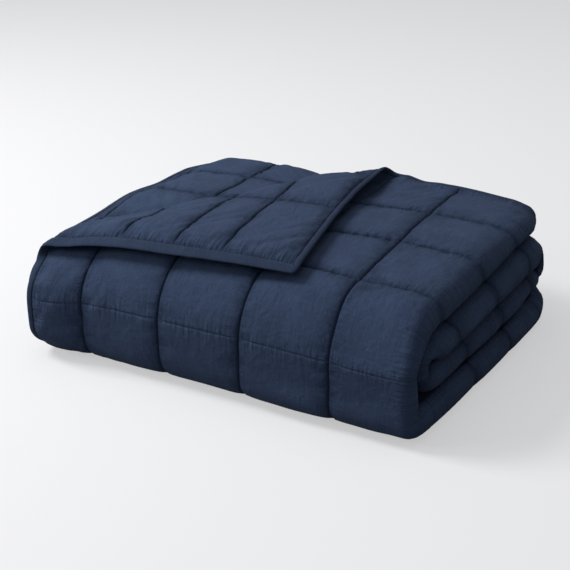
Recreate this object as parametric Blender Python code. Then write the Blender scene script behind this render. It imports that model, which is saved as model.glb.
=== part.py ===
"""Weighted blanket, folded into a stack with one corner of the top layer turned back.

The blanket is first folded in half along its length, which leaves a rounded fold at the
right-hand side and two open edges at the left. The doubled cloth is then folded in passes:
along the top, down round the front, back along the bottom, up round the back, forward
again, and last into the middle. Every point of it is placed from its address on the flat
cloth: "across" runs over the width, "along" runs down the length, "up" is the height over
the middle of the cloth. Metres, +Z up, the stack stands on z = 0.
"""
from bisect import bisect_right
from math import atan2, cos, exp, hypot, pi, sin

import bmesh
import bpy
from mathutils import Vector

# ---- driving dimensions -------------------------------------------------------------------
SQUARE = 0.127              # side of one quilted square
STACK_HEIGHT = 0.178        # floor to the top of the puffed squares, at the front
LAYER_GAP = 0.0016          # air between two layers of cloth
FOLD_X = 0.268              # middle of the rounded right-hand fold
OUTER_EDGE_X = -0.287       # cut edge of the outer half of the doubled cloth
INNER_EDGE_X = -0.335       # cut edge of the inner half, which stands out at the back
BACK_Y = 0.495              # free end of the outer half on the top pass
FRONT_SEAM = 0.079          # first lengthwise seam, from the outer cut edge
INNER_SEAM = 0.020          # first lengthwise seam, from the inner cut edge
FIRST_CROSS_SEAM = 0.142    # first crosswise seam, from the free end

LENGTH_SEAM_DEPTH = 0.56    # share of the cloth's thickness that a lengthwise seam draws in
CROSS_SEAM_DEPTH = 0.34     # the same for a crosswise seam
EDGE_DEPTH = 0.50           # the same at the bound edge
FOLD_FULLNESS = 0.50        # the crosswise seams are this much shallower on the rounded fold
BINDING_WIDTH = 0.0112
BINDING_HALF = 0.0047       # half the thickness of the binding
BINDING_GAP = 0.0004        # air between the cloth's edge and the binding
BINDING_GROOVE = 0.0018     # the binding is folded round the edge, so its inner side is hollow

# The doubled cloth in each pass: height of its outer skin, and how thick the pair lies.
#            skin z   thickness
TOP_PASS = (STACK_HEIGHT, 0.037)
BOTTOM_PASS = (0.0, 0.046)
UPPER_MIDDLE = (0.141, 0.054)
LOWER_MIDDLE = (0.046, 0.041)
FRONT_BEND_THICK = 0.036    # the pair is pressed thinner where it turns
BACK_BEND_THICK = 0.020
INNER_BEND_THICK = 0.030

FRONT_BEND_Y = 0.089        # where the top pass starts to turn down
BACK_BEND_Y = 0.440         # where the bottom pass starts to turn up
BACK_BEND_REACH = 0.080
INNER_BEND_Y = 0.0950       # where the middle passes meet
INNER_BEND_REACH = 0.0550
LAST_END_Y = 0.466          # free end inside the stack
PINCH = 0.009               # how far the back bend is drawn in where it creases
PINCH_Z = 0.054
PINCH_WIDTH = 0.020
FRONT_SQUARE = 4.0          # how square a bend is next to the floor; 2 is round
BACK_SQUARE = 2.0
INNER_SQUARE = 2.5

# How the stack has settled: it isn't quite square.
MIDDLE_RISE = 0.050         # its middle stands higher, as a share of the height
LEFT_SINK = 0.060           # its front-left corner sinks
LEFT_RISE = 0.028           # the back-left stands higher
RIGHT_SINK = 0.028          # so does its back-right corner
RIGHT_SKEW = 0.018          # the top pass lies further back at the right
SHOULDER = 0.013            # and is rounded off towards the fold
FRONT_BOW = 0.016           # its front-left bows out
FLOOR_SPREAD = 0.016        # the fold at the right spreads along the floor towards the back
FRONT_SPREAD = 0.011        # and this much everywhere
FOOT_BULGE = 0.008          # the front-right stands a little forward at the floor
END_ROUND = 0.011           # and is rounded off at the free end
WAIST = 0.014               # between the top pass and the ones under it, at the back-right
WAIST_Z = 0.047
SAG = 0.019                 # the top pass hangs lower towards the front-right
SAG_Z = 0.135
BACK_DIP = 0.018            # the top dips under the back end of the turned corner
RIDGE_LIFT = 0.010          # and is lifted beside it, where the ridge leaves the free end
DROOP = 0.010               # the inner half hangs over the stack's left side
DROOP_ROUND = 0.022         # and is rounded off at its corner
END_DROOP = 0.011           # its free end hangs over the back

SOLE = 0.001                # the puffs are pressed flat where they touch the floor

SEAM_LEAN = 0.020           # the last lengthwise seam before the fold leans to the left
LEANING_SEAM = 0.460

# The inner half of the doubled cloth lies skewed under the outer one.
SKEW = 0.083
END_GATHER = 0.036          # its free end is gathered in by this much
INNER_TUCK = 0.036          # its cut edge is drawn in everywhere but at the back of the top

# The corner that is turned back, as addresses (across, along) on the flat cloth.
RIDGE_ACROSS = 0.346        # the ridge leaves the free end here
RIDGE_ALONG = 0.466         # and the cut edge here
CORNER_X = 0.094            # where the turned corner lands
CORNER_ALONG = 0.424
ROLL_RADIUS = 0.0125        # of the middle of the cloth, where it rolls over
ROLL_TIGHTER = 0.0015       # less than that at the front end of the ridge
LYING_GAP = 0.002           # air under the turned corner, away from the ridge
LYING_RUN = 0.16            # distance from the ridge at which it lies down
CORNER_LIFT = 0.028         # its front edge stays up
EDGE_BOW = 0.048            # its right-hand edge is drawn in
TURNED_SEAMS = (0.151, 0.278)                       # lengthwise, from the cut edge
TURNED_CROSS_SEAMS = (0.120, 0.205, 0.300)          # crosswise, from the free end

ARC_STEPS = 6               # parts of the rounded right-hand fold
BEND_STEP = 0.40            # largest turn between two rows, in radians
ROLL_CUTS = 5               # parts of the roll along the ridge
SAMPLES = 120               # samples for each bend of the path
TURN_SAMPLES = 24           # samples between two marks, to find where the cloth turns


def blend(t):
    """Smooth step from 0 to 1."""
    t = min(max(t, 0.0), 1.0)
    return t * t * (3.0 - 2.0 * t)


def ramp(value, start, stop):
    """Smooth step that is 0 at start and 1 at stop."""
    return blend((value - start) / (stop - start))


# ---- the path of the doubled cloth, seen from the side --------------------------------------
def bend(start, end, centre_y, reach, pressed, square=2.0, pinch=0.0):
    """Half turn of the outer skin from one pass to the next; reach < 0 turns to the front.

    It is round above and, under the weight of the stack, squarer next to the floor.
    """
    z_mid = (start[0] + end[0]) / 2.0
    z_half = abs(start[0] - end[0]) / 2.0
    down = 1.0 if start[0] > end[0] else -1.0
    found = []
    for i in range(1, SAMPLES):
        turn = pi * i / SAMPLES
        side = down * cos(turn)
        power = 2.0 / square if side < 0.0 else 1.0
        z = z_mid + (1.0 if side > 0.0 else -1.0) * z_half * abs(side) ** power
        y = centre_y + reach * sin(turn) ** power
        y -= pinch * exp(-((z - PINCH_Z) / PINCH_WIDTH) ** 2)
        thick = start[1] + (end[1] - start[1]) * blend(i / SAMPLES)
        thick += (pressed - thick) * sin(turn) ** 1.2
        found.append((y, z, thick))
    return found


def skin_samples():
    """Points of the outer skin from the free end at the top to the one inside, as y, z, thickness."""
    top, bottom = TOP_PASS, (BOTTOM_PASS[0] - LAYER_GAP / 2.0, BOTTOM_PASS[1])
    rows = [(BACK_Y + 0.1,) + top, (FRONT_BEND_Y,) + top]
    rows += bend(top, bottom, FRONT_BEND_Y, -STACK_HEIGHT / 2.0, FRONT_BEND_THICK, FRONT_SQUARE)
    rows += [(FRONT_BEND_Y,) + bottom, (BACK_BEND_Y,) + bottom]
    rows += bend(bottom, UPPER_MIDDLE, BACK_BEND_Y, BACK_BEND_REACH, BACK_BEND_THICK,
                 BACK_SQUARE, PINCH)
    rows += [(BACK_BEND_Y,) + UPPER_MIDDLE, (INNER_BEND_Y,) + UPPER_MIDDLE]
    rows += bend(UPPER_MIDDLE, LOWER_MIDDLE, INNER_BEND_Y, -INNER_BEND_REACH, INNER_BEND_THICK,
                 INNER_SQUARE)
    rows += [(INNER_BEND_Y,) + LOWER_MIDDLE, (LAST_END_Y + 0.1,) + LOWER_MIDDLE]
    return rows


def path_table():
    """Rows of (along, y, z, normal y, normal z, thickness), measured on the outer layer."""
    rows = skin_samples()
    frames = []
    for i, (y, z, thick) in enumerate(rows):
        before, after = rows[max(i - 1, 0)], rows[min(i + 1, len(rows) - 1)]
        if i in (0, len(rows) - 1) or before[1] == z or after[1] == z:
            ny, nz = (0.0, 1.0 if i == 0 or (before[0] > y and before[1] == z)
                      or (after[0] < y and after[1] == z) else -1.0)
        else:
            dy, dz = after[0] - before[0], after[1] - before[1]
            ny, nz = dz / hypot(dy, dz), -dy / hypot(dy, dz)
        frames.append([0.0, y, z, ny, nz, thick])
    along = BACK_Y - frames[0][1]
    for i, frame in enumerate(frames):
        if i:
            last = frames[i - 1]
            step_y = (frame[1] - frame[3] * frame[5] / 4) - (last[1] - last[3] * last[5] / 4)
            step_z = (frame[2] - frame[4] * frame[5] / 4) - (last[2] - last[4] * last[5] / 4)
            along += hypot(step_y, step_z)
        frame[0] = along
    return frames


PATH = path_table()
PATH_ALONG = [frame[0] for frame in PATH]
LENGTH = PATH_ALONG[-1] - 0.1                       # of the cloth, without its binding
ARC_LENGTH = pi * (TOP_PASS[1] + BOTTOM_PASS[1]) / 8.0
OUTER_WIDTH = FOLD_X - OUTER_EDGE_X
INNER_START = OUTER_WIDTH + ARC_LENGTH
WIDTH = INNER_START + FOLD_X - INNER_EDGE_X


def on_path(along):
    """Skin point, normal and pair thickness at a distance along the cloth."""
    i = min(max(bisect_right(PATH_ALONG, along), 1), len(PATH) - 1)
    low, high = PATH[i - 1], PATH[i]
    share = (along - low[0]) / max(high[0] - low[0], 1e-9)
    y, z, ny, nz, thick = (a + (b - a) * share for a, b in zip(low[1:], high[1:]))
    size = hypot(ny, nz)
    return y, z, ny / size, nz / size, thick


def settle(x, y, z):
    """Where a point of the square-built stack ends up once the stack has settled."""
    upper = ramp(z, 0.06, 0.16)
    left = ramp(x, -0.270, -0.345)
    grow = MIDDLE_RISE * ramp(y, 0.03, 0.29) * (1.0 - (x / 0.33) ** 2)
    grow -= LEFT_SINK * ramp(x, -0.14, -0.28) * ramp(y, 0.26, 0.04)
    grow += LEFT_RISE * ramp(x, -0.04, -0.20) * ramp(y, 0.15, 0.33)
    grow -= RIGHT_SINK * ramp(x, 0.14, 0.27) * ramp(y, 0.28, 0.50)
    bow = FRONT_BOW * ramp(x, -0.190, -0.275) * ramp(y, 0.20, 0.0)
    bow *= 0.3 + 0.7 * ramp(z, 0.0, 0.05) * ramp(z, 0.17, 0.11)
    bow += FOOT_BULGE * ramp(x, -0.05, 0.15) * ramp(y, 0.14, 0.02) * ramp(z, 0.06, 0.02)
    bow -= RIGHT_SKEW * ramp(x, 0.06, 0.18) * ramp(y, 0.05, 0.25) * ramp(y, 0.50, 0.38) * upper
    spread = (FRONT_SPREAD + FLOOR_SPREAD * ramp(y, -0.07, 0.40)) * ramp(x, 0.05, 0.25)
    spread *= 1.0 - 0.8 * z / STACK_HEIGHT
    spread -= END_ROUND * ramp(x, 0.15, 0.26) * ramp(y, 0.43, 0.52) * ramp(z, 0.11, 0.14)
    spread -= WAIST * exp(-((z - WAIST_Z) / 0.012) ** 2) * ramp(x, 0.18, 0.26) * ramp(y, 0.36, 0.44)
    spread += DROOP_ROUND * left * ramp(y, 0.47, 0.54) * upper
    drop = BACK_DIP * exp(-((x + 0.045) / 0.07) ** 2) * ramp(y, 0.36, 0.50) * z / STACK_HEIGHT
    drop -= RIDGE_LIFT * exp(-((x - 0.062) / 0.025) ** 2) * ramp(y, 0.40, 0.50) * upper
    drop += SHOULDER * ramp(x, 0.24, 0.31) * ramp(z, 0.14, 0.18)
    drop += SAG * exp(-((z - SAG_Z) / 0.034) ** 2) * ramp(x, 0.08, 0.25) * ramp(y, 0.46, 0.12)
    drop += DROOP * left * ramp(y, 0.08, 0.22) * upper
    return Vector((x + spread, y - bow, z * (1.0 + grow) - drop))


def in_stack(x, along, rise, shift=0.0):
    """World point at x, a distance along the cloth and a height over the middle of the pair."""
    y, z, ny, nz, thick = on_path(along)
    drop = thick / 2.0 - rise
    return settle(x, y + shift - ny * drop, z - nz * drop)


# ---- from the flat cloth to the folded one --------------------------------------------------
def turned(across, along):
    """How far a point lies past the ridge: 0 on it, 1 at the corner of the cloth."""
    return 1.0 - across / RIDGE_ACROSS - along / RIDGE_ALONG


RIDGE = Vector((RIDGE_ACROSS, -RIDGE_ALONG)).normalized()
OVER = Vector((-RIDGE.y, RIDGE.x))                  # across the ridge, to where the corner lands
CORNER = Vector((CORNER_X - OUTER_EDGE_X, CORNER_ALONG - RIDGE_ALONG))
CORNER_REACH = CORNER.dot(OVER)


def ridge_radius(share):
    """Radius of the roll, from the front end of the ridge (0) to the back end (1)."""
    return ROLL_RADIUS - ROLL_TIGHTER * ramp(share, 0.35, 0.0)


def place_turned(across, along, up):
    """A point of the turned corner: rolled round the ridge, then lying on the top."""
    past = turned(across, along)
    slant = across / RIDGE_ACROSS * Vector((RIDGE_ACROSS, -RIDGE_ALONG)) + past * CORNER
    reach = slant.dot(OVER)
    share = slant.dot(RIDGE) / hypot(RIDGE_ACROSS, RIDGE_ALONG)
    radius = ridge_radius(share)
    reach += past * pi * radius
    angle = min(pi, reach / radius)
    run = reach - pi * radius
    if run < 0.0:
        sideways = -(radius - up) * sin(angle)
        rise = radius - (radius - up) * cos(angle)
    else:
        sideways = run
        lying = TOP_PASS[1] / 2.0 + LYING_GAP
        rise = 2.0 * radius + (lying - 2.0 * radius) * ramp(run, 0.0, LYING_RUN) - up
    free_end, cut_edge = across / RIDGE_ACROSS * past, along / RIDGE_ALONG * past
    rise += CORNER_LIFT * cut_edge * ramp(run, 0.0, 0.05)
    spot = slant.dot(RIDGE) * RIDGE + sideways * OVER
    spot.x -= EDGE_BOW * free_end
    along = RIDGE_ALONG + spot.y
    return in_stack(OUTER_EDGE_X + spot.x, along, on_path(along)[4] / 4.0 + rise)


def place(across, along, up):
    """World point of an address on the flat cloth; up is positive on the face side."""
    thick = on_path(along)[4]
    layer = thick / 4.0
    if across <= OUTER_WIDTH:
        if turned(across, along) > 0.0:
            return place_turned(across, along, up)
        lean = SEAM_LEAN * exp(-((across - LEANING_SEAM) / 0.06) ** 2) * ramp(along, 0.50, 0.05)
        return in_stack(OUTER_EDGE_X + across - lean, along, layer + up)
    if across < INNER_START:
        angle = pi * (across - OUTER_WIDTH) / ARC_LENGTH
        return in_stack(FOLD_X + (layer + up) * sin(angle), along, (layer + up) * cos(angle))
    back = across - INNER_START
    free = max(1.0 - along / FIRST_CROSS_SEAM, 0.0) * ramp(back, 0.0, 0.25)
    slide = SKEW * ramp(back, 0.0, 0.25) * ramp(along, 0.50, 0.20) - END_GATHER * free
    tuck = INNER_TUCK * ramp(back, 0.05, 0.50) * ramp(along, 0.12, 0.45)
    hang = END_DROOP * ramp(back, 0.15, 0.30) * ramp(along, 0.032, -0.012)
    return in_stack(FOLD_X - back + tuck, along, -layer - up - hang, slide)


# ---- quilting -------------------------------------------------------------------------------
def spaced(first, step, stop):
    """Seams every step from first, short of stop."""
    found = []
    while first < stop - 0.03:
        found.append(first)
        first += step
    return found


LENGTH_SEAMS = spaced(FRONT_SEAM, SQUARE, OUTER_WIDTH) + [INNER_START]
LENGTH_SEAMS += [WIDTH - seam for seam in reversed(spaced(INNER_SEAM, SQUARE, 0.5))]
CROSS_SEAMS = spaced(FIRST_CROSS_SEAM, SQUARE, LENGTH)


def puff(distance, depth):
    """Height of the filled square at a distance from a seam, as a share of its full height."""
    share = min(distance / (SQUARE / 2.0), 1.0)
    return 1.0 - depth * (1.0 - share) ** 3


def to_seam(value, seams):
    """Distance to the nearest of the seams."""
    return min(abs(value - seam) for seam in seams)


def thickness_share(across, along):
    """How full the quilting is at an address: 1 in the middle of a square."""
    lengthwise = puff(to_seam(across, LENGTH_SEAMS), LENGTH_SEAM_DEPTH)
    crosswise = puff(to_seam(along, CROSS_SEAMS), CROSS_SEAM_DEPTH)
    if across <= OUTER_WIDTH:
        past = ramp(turned(across, along), 0.0, 0.05)
        lengthwise += past * (puff(to_seam(across, TURNED_SEAMS), LENGTH_SEAM_DEPTH) - lengthwise)
        crosswise += past * (puff(to_seam(along, TURNED_CROSS_SEAMS), CROSS_SEAM_DEPTH) - crosswise)
    from_fold = across - OUTER_WIDTH - ARC_LENGTH / 2.0
    crosswise += FOLD_FULLNESS * exp(-(from_fold / 0.05) ** 2) * (1.0 - crosswise)
    edge = min(across, WIDTH - across, along, LENGTH - along)
    return lengthwise * crosswise * puff(2.0 * max(edge, 0.0), EDGE_DEPTH)


def layer_half(across, along):
    """Half the thickness of the cloth at an address."""
    full = on_path(along)[4] / 4.0 - LAYER_GAP / 2.0
    return full * thickness_share(across, along)


def with_thirds(seams, end):
    """The seams, both ends, and two points between each pair."""
    marks = [0.0] + [s for s in seams if 0.0 < s < end] + [end]
    marks = sorted(set(marks))
    found = []
    for low, high in zip(marks, marks[1:]):
        parts = 3 if high - low > 0.05 else 2
        found += [low + (high - low) * i / parts for i in range(parts)]
    return found + [end]


def columns():
    """Addresses across the cloth that carry a line of points."""
    outer = [s for s in LENGTH_SEAMS if s < OUTER_WIDTH] + [TURNED_SEAMS[0]]
    outer = with_thirds(outer, OUTER_WIDTH)
    arc = [OUTER_WIDTH + ARC_LENGTH * i / ARC_STEPS for i in range(1, ARC_STEPS)]
    inner_seams = [s - INNER_START for s in LENGTH_SEAMS if s > INNER_START]
    inner = [INNER_START + s for s in with_thirds(inner_seams, WIDTH - INNER_START)]
    return outer + arc + inner


def heading(along):
    """Direction of the skin's normal at a distance along the cloth, in radians."""
    y, z, ny, nz, thick = on_path(along)
    return atan2(ny, nz)


def turning(low, high):
    """Distances between low and high with the turn made since low, finely sampled."""
    found = [(low, 0.0)]
    for i in range(1, TURN_SAMPLES + 1):
        along = low + (high - low) * i / TURN_SAMPLES
        change = (heading(along) - heading(found[-1][0]) + pi) % (2.0 * pi) - pi
        found.append((along, found[-1][1] + abs(change)))
    return found


def rows():
    """Addresses along the cloth that carry a line of points, closer where it turns."""
    marks = with_thirds(CROSS_SEAMS, LENGTH)
    found = []
    for low, high in zip(marks, marks[1:]):
        found.append(low)
        steps = turning(low, high)
        parts = 1 + int(steps[-1][1] / BEND_STEP)
        for i in range(1, parts):
            found.append(next(along for along, turn in steps if turn >= steps[-1][1] * i / parts))
    return found + [LENGTH]


COLUMNS = columns()
ROWS = rows()


# ---- building -------------------------------------------------------------------------------
def cut_along_ridge(mesh):
    """Split the flat pieces along the lines where the corner rolls over."""
    direction = Vector((1.0 / RIDGE_ACROSS, 1.0 / RIDGE_ALONG, 0.0))
    for cut in range(ROLL_CUTS + 1):
        past = cut / ROLL_CUTS * pi * ROLL_RADIUS / (CORNER_REACH + pi * ROLL_RADIUS)
        point = Vector((RIDGE_ACROSS * (1.0 - past), 0.0, 0.0))
        geometry = mesh.verts[:] + mesh.edges[:] + mesh.faces[:]
        bmesh.ops.bisect_plane(mesh, geom=geometry, dist=1e-5, plane_co=point, plane_no=direction)


def finish(mesh, name, colour, roughness):
    """Fold the flat piece, and make it an object with its own material."""
    cut_along_ridge(mesh)
    bmesh.ops.triangulate(mesh, faces=mesh.faces[:])
    for vert in mesh.verts:
        across, along, up = vert.co
        vert.co = place(across, along, up)
        vert.co.z = max(vert.co.z, SOLE)
    bmesh.ops.recalc_face_normals(mesh, faces=mesh.faces[:])
    data = bpy.data.meshes.new(name)
    mesh.to_mesh(data)
    mesh.free()
    data.shade_smooth()
    material = bpy.data.materials.new(name)
    material.use_nodes = True
    shader = material.node_tree.nodes["Principled BSDF"]
    shader.inputs["Base Color"].default_value = colour
    shader.inputs["Roughness"].default_value = roughness
    shader.inputs["Metallic"].default_value = 0.0
    data.materials.append(material)
    piece = bpy.data.objects.new(name, data)
    bpy.context.scene.collection.objects.link(piece)
    return piece


def blanket():
    """The quilted cloth: one closed sheet with its filling, puffed between the seams."""
    mesh = bmesh.new()
    faces = []
    for side in (1.0, -1.0):
        grid = [[mesh.verts.new((a, b, side * layer_half(a, b))) for b in ROWS] for a in COLUMNS]
        faces.append(grid)
        for i in range(len(COLUMNS) - 1):
            for j in range(len(ROWS) - 1):
                ring = (grid[i][j], grid[i + 1][j], grid[i + 1][j + 1], grid[i][j + 1])
                mesh.faces.new(ring if side > 0 else ring[::-1])
    top, bottom = faces
    rim_top = top[0][:-1] + [column[-1] for column in top[:-1]]
    rim_top += top[-1][:0:-1] + [column[0] for column in top[:0:-1]]
    rim_bottom = bottom[0][:-1] + [column[-1] for column in bottom[:-1]]
    rim_bottom += bottom[-1][:0:-1] + [column[0] for column in bottom[:0:-1]]
    count = len(rim_top)
    for i in range(count):
        j = (i + 1) % count
        mesh.faces.new((rim_top[i], rim_top[j], rim_bottom[j], rim_bottom[i]))
    return finish(mesh, "blanket", (0.016, 0.030, 0.070, 1.0), 0.85)


def binding():
    """The strip sewn round all four edges, a flattened bar that follows them."""
    inner, outer = BINDING_GAP, BINDING_GAP + BINDING_WIDTH
    waist = inner + 0.62 * BINDING_WIDTH
    section = ((inner, 0.86), (waist, 1.0), (outer, 0.42), (outer, -0.42), (waist, -1.0),
               (inner, -0.86), (inner + BINDING_GROOVE, 0.0))
    stations = [(0.0, b, -1, 0) for b in ROWS[1:-1]] + [(0.0, LENGTH, -1, 1)]
    stations += [(a, LENGTH, 0, 1) for a in COLUMNS[1:-1]] + [(WIDTH, LENGTH, 1, 1)]
    stations += [(WIDTH, b, 1, 0) for b in reversed(ROWS[1:-1])] + [(WIDTH, 0.0, 1, -1)]
    stations += [(a, 0.0, 0, -1) for a in reversed(COLUMNS[1:-1])] + [(0.0, 0.0, -1, -1)]
    mesh = bmesh.new()
    loops = []
    for a, b, out_a, out_b in stations:
        loops.append([mesh.verts.new((a + out_a * out, b + out_b * out, up * BINDING_HALF))
                      for out, up in section])
    for k, loop in enumerate(loops):
        after = loops[(k + 1) % len(loops)]
        for i in range(len(section)):
            j = (i + 1) % len(section)
            mesh.faces.new((loop[i], after[i], after[j], loop[j]))
    return finish(mesh, "binding", (0.012, 0.023, 0.056, 1.0), 0.8)


def stand_on_origin(pieces):
    """Move the stack so that the middle of its box stands on the origin."""
    corners = [vert.co for piece in pieces for vert in piece.data.vertices]
    low = [min(corner[axis] for corner in corners) for axis in range(3)]
    high = [max(corner[axis] for corner in corners) for axis in range(3)]
    middle = Vector(((low[0] + high[0]) / 2.0, (low[1] + high[1]) / 2.0, low[2]))
    for piece in pieces:
        for vert in piece.data.vertices:
            vert.co -= middle
    return middle


for old in list(bpy.data.objects):
    bpy.data.objects.remove(old)
STACK_MIDDLE = stand_on_origin([blanket(), binding()])
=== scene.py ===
"""Weighted blanket, doubled, folded into a stack, with one top corner turned back.

The sections follow the blanket as it is made: the face cloth, the back cloth, the quilting
thread, the binding and its thread. The floor, the lights and the camera come last. Metres, +Z up.
"""
from math import hypot, pi

import bpy
import numpy as np
from mathutils import Matrix, Vector


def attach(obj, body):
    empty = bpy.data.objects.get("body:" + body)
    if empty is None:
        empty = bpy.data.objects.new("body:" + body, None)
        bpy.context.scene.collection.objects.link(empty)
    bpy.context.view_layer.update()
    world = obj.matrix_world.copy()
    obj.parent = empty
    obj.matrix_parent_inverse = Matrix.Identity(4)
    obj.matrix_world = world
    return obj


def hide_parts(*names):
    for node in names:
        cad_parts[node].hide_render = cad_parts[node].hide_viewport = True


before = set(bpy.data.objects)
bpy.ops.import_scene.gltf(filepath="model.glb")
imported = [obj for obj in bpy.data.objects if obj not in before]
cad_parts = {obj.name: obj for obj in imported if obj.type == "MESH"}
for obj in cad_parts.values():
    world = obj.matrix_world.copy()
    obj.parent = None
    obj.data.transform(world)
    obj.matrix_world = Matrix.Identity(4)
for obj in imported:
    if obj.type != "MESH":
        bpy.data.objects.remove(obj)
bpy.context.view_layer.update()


# ---- face cloth -----------------------------------------------------------------------------
# The outside of the blanket: a slub-weave cotton, quilted in squares over beads and wadding.
# It is drawn in along every seam and swells between them. Each point has an address on the flat
# cloth, "across" its width and "along" its length, and is carried from there to the fold.
SQUARE = 0.127              # side of one quilted square
STACK_HEIGHT = 0.178
LAYER_GAP = 0.0016
FOLD_X = 0.268              # middle of the rounded right-hand fold
OUTER_EDGE_X = -0.287       # cut edges of the two halves of the doubled cloth
INNER_EDGE_X = -0.335
BACK_Y = 0.495              # free end on the top pass
FIRST_CROSS_SEAM = 0.142

# height of the outer skin and thickness of the doubled cloth, in each pass
TOP_PASS = (STACK_HEIGHT, 0.037)
BOTTOM_PASS = (-LAYER_GAP / 2.0, 0.046)
UPPER_MIDDLE = (0.141, 0.054)
LOWER_MIDDLE = (0.046, 0.041)
FRONT_BEND = dict(centre_y=0.089, reach=-STACK_HEIGHT / 2.0, pressed=0.036, square=4.0)
BACK_BEND = dict(centre_y=0.440, reach=0.080, pressed=0.020, pinch=0.009)
INNER_BEND = dict(centre_y=0.095, reach=-0.055, pressed=0.030, square=2.5)
LAST_END_Y = 0.466
PINCH_Z, PINCH_WIDTH = 0.054, 0.020                     # the crease in the bend at the back
PATH_SPARE = 0.1            # the path runs on past both ends of the cloth
BEND_SAMPLES = 120

# how the stack has settled out of its square form: shares of the height, then distances
MIDDLE_RISE, FRONT_LEFT_SINK, BACK_LEFT_RISE, BACK_RIGHT_SINK = 0.050, 0.060, 0.028, 0.028
FRONT_LEFT_BOW, FRONT_FOOT_BOW, TOP_SET_BACK = 0.016, 0.008, 0.018
FOLD_SPREAD, BACK_SPREAD, BACK_ROUND, BACK_WAIST, LEFT_DRAWN = 0.011, 0.016, 0.011, 0.014, 0.022
RIDGE_DIP, RIDGE_RISE, RIGHT_DROOP, RIGHT_SAG, LEFT_DROOP = 0.012, 0.010, 0.013, 0.019, 0.010

STACK_MIDDLE = np.array((-0.01735, 0.26865, 0.001))     # of the fold, moved to the origin


def blend(t):
    """Smooth step from 0 to 1."""
    t = np.clip(t, 0.0, 1.0)
    return t * t * (3.0 - 2.0 * t)


def ramp(value, start, stop):
    """Smooth step from 0 at the start to 1 at the stop."""
    return blend((value - start) / (stop - start))


def bend(start, end, centre_y, reach, pressed, square=2.0, pinch=0.0):
    """Half turn of the outer skin between two passes, as rows of y, z and thickness."""
    turn = pi * np.arange(1, BEND_SAMPLES) / BEND_SAMPLES
    side = np.cos(turn) * (1.0 if start[0] > end[0] else -1.0)
    power = np.where(side < 0.0, 2.0 / square, 1.0)
    middle, half = (start[0] + end[0]) / 2.0, abs(start[0] - end[0]) / 2.0
    z = middle + np.sign(side) * half * np.abs(side) ** power
    y = centre_y + reach * np.sin(turn) ** power
    y -= pinch * np.exp(-((z - PINCH_Z) / PINCH_WIDTH) ** 2)
    thick = start[1] + (end[1] - start[1]) * blend(turn / pi)
    thick += (pressed - thick) * np.sin(turn) ** 1.2
    return np.stack((y, z, thick), axis=1)


def flat_pass(y_from, y_to, level):
    """Both ends of a level pass, as rows of y, z and thickness."""
    return np.array(((y_from,) + level, (y_to,) + level))


skin = np.concatenate((
    flat_pass(BACK_Y + PATH_SPARE, FRONT_BEND["centre_y"], TOP_PASS),
    bend(TOP_PASS, BOTTOM_PASS, **FRONT_BEND),
    flat_pass(FRONT_BEND["centre_y"], BACK_BEND["centre_y"], BOTTOM_PASS),
    bend(BOTTOM_PASS, UPPER_MIDDLE, **BACK_BEND),
    flat_pass(BACK_BEND["centre_y"], INNER_BEND["centre_y"], UPPER_MIDDLE),
    bend(UPPER_MIDDLE, LOWER_MIDDLE, **INNER_BEND),
    flat_pass(INNER_BEND["centre_y"], LAST_END_Y + PATH_SPARE, LOWER_MIDDLE),
))
skin_y, skin_z, skin_thick = skin.T
step_y = np.diff(skin_y, prepend=2 * skin_y[0] - skin_y[1], append=2 * skin_y[-1] - skin_y[-2])
step_z = np.diff(skin_z, prepend=skin_z[0], append=skin_z[-1])
turn_y, turn_z = step_y[:-1] + step_y[1:], step_z[:-1] + step_z[1:]
turn_z[(step_z[:-1] == 0.0) | (step_z[1:] == 0.0)] = 0.0
skin_normal_y = turn_z / np.hypot(turn_y, turn_z)
skin_normal_z = -turn_y / np.hypot(turn_y, turn_z)
middle_y = skin_y - skin_normal_y * skin_thick / 4.0
middle_z = skin_z - skin_normal_z * skin_thick / 4.0
skin_along = BACK_Y - skin_y[0] + np.concatenate(
    ([0.0], np.cumsum(np.hypot(np.diff(middle_y), np.diff(middle_z)))))

LENGTH = skin_along[-1] - PATH_SPARE
ARC_LENGTH = pi * (TOP_PASS[1] + BOTTOM_PASS[1]) / 8.0
OUTER_WIDTH = FOLD_X - OUTER_EDGE_X
INNER_START = OUTER_WIDTH + ARC_LENGTH
WIDTH = INNER_START + FOLD_X - INNER_EDGE_X


def on_path(along):
    """Skin point, normal and thickness of the pair at a distance along the cloth."""
    y, z, ny, nz, thick = (np.interp(along, skin_along, values) for values in
                           (skin_y, skin_z, skin_normal_y, skin_normal_z, skin_thick))
    size = np.hypot(ny, nz)
    return y, z, ny / size, nz / size, thick


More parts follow.
